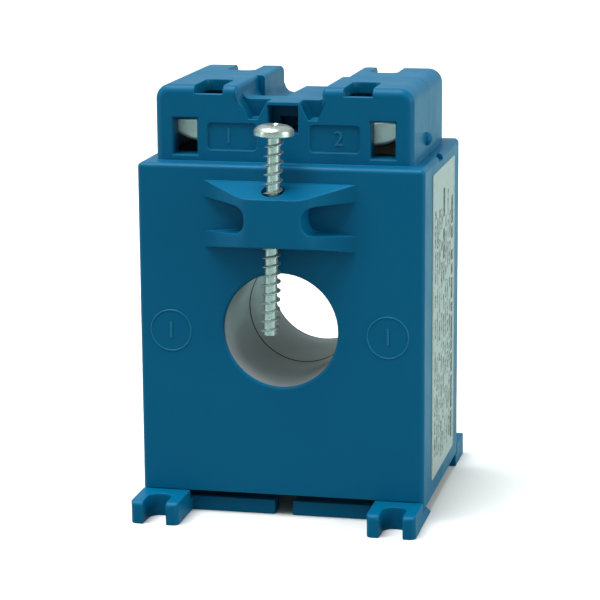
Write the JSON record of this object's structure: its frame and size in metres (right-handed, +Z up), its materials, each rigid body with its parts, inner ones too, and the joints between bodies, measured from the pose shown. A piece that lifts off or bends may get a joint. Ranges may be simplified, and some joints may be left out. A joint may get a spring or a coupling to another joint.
{
  "type": "current transformer",
  "caption": "Window-type current transformer: a blue split housing with a round window for a conductor, screw terminals in towers on top, a fixing screw in a front boss, and clip-in feet.",
  "frame": {"origin": "on the ground plane under the middle of the feet; the two half-shells meet in the plane Y = 0", "axes": "+Z up through the terminal block, +Y along the window from the front with the fixing screw to the back, +X to the right seen from the front"},
  "size_m": [0.0601, 0.0664, 0.09],
  "materials": {
    "blue_plastic": "moulded, fine spark-eroded grain, satin",
    "grey_plastic": "moulded, satin",
    "core_steel": "wound strip, annealed",
    "cap_plastic": "moulded",
    "copper_wire": "enamelled",
    "tape": "polyester tape",
    "lead_insulation": "smooth",
    "terminal_brass": "stamped, tin-bright",
    "zinc_steel": "zinc-plated, bright",
    "label": "printed foil, satin"
  },
  "bodies": {
    "housing": {"front_shell": "blue_plastic", "rear_shell": "blue_plastic", "bore_sleeve_front": "grey_plastic", "bore_sleeve_rear": "grey_plastic", "core": "core_steel", "core_cap_front": "cap_plastic", "core_cap_rear": "cap_plastic", "secondary_winding": "copper_wire", "winding_tape": "tape", "terminal_bar_left": "terminal_brass", "terminal_bar_right": "terminal_brass", "lead_left": "lead_insulation", "lead_right": "lead_insulation", "foot_front_left": "blue_plastic", "foot_front_right": "blue_plastic", "foot_rear_left": "blue_plastic", "foot_rear_right": "blue_plastic", "rating_label": "label"},
    "fixing_screw": {"fixing_screw": "zinc_steel"},
    "clamp_front_left": {"clamp_shoe_front_left": "zinc_steel", "clamp_screw_front_left": "zinc_steel"},
    "clamp_front_right": {"clamp_shoe_front_right": "zinc_steel", "clamp_screw_front_right": "zinc_steel"},
    "clamp_rear_left": {"clamp_shoe_rear_left": "zinc_steel", "clamp_screw_rear_left": "zinc_steel"},
    "clamp_rear_right": {"clamp_shoe_rear_right": "zinc_steel", "clamp_screw_rear_right": "zinc_steel"}
  },
  "joints": [
    {"name": "fixing_screw_drive", "type": "slide", "parent": "housing", "child": "fixing_screw", "axis": [0.0297, 0, 0.9996], "range_m": [-0.0058, 0.012]},
    {"name": "clamp_front_left_travel", "type": "slide", "parent": "housing", "child": "clamp_front_left", "axis": [0, 0, 1], "range_m": [-0.0016, 0.003]},
    {"name": "clamp_front_right_travel", "type": "slide", "parent": "housing", "child": "clamp_front_right", "axis": [0, 0, 1], "range_m": [-0.0016, 0.003]},
    {"name": "clamp_rear_left_travel", "type": "slide", "parent": "housing", "child": "clamp_rear_left", "axis": [0, 0, 1], "range_m": [-0.0016, 0.003]},
    {"name": "clamp_rear_right_travel", "type": "slide", "parent": "housing", "child": "clamp_rear_right", "axis": [0, 0, 1], "range_m": [-0.0016, 0.003]}
  ]
}
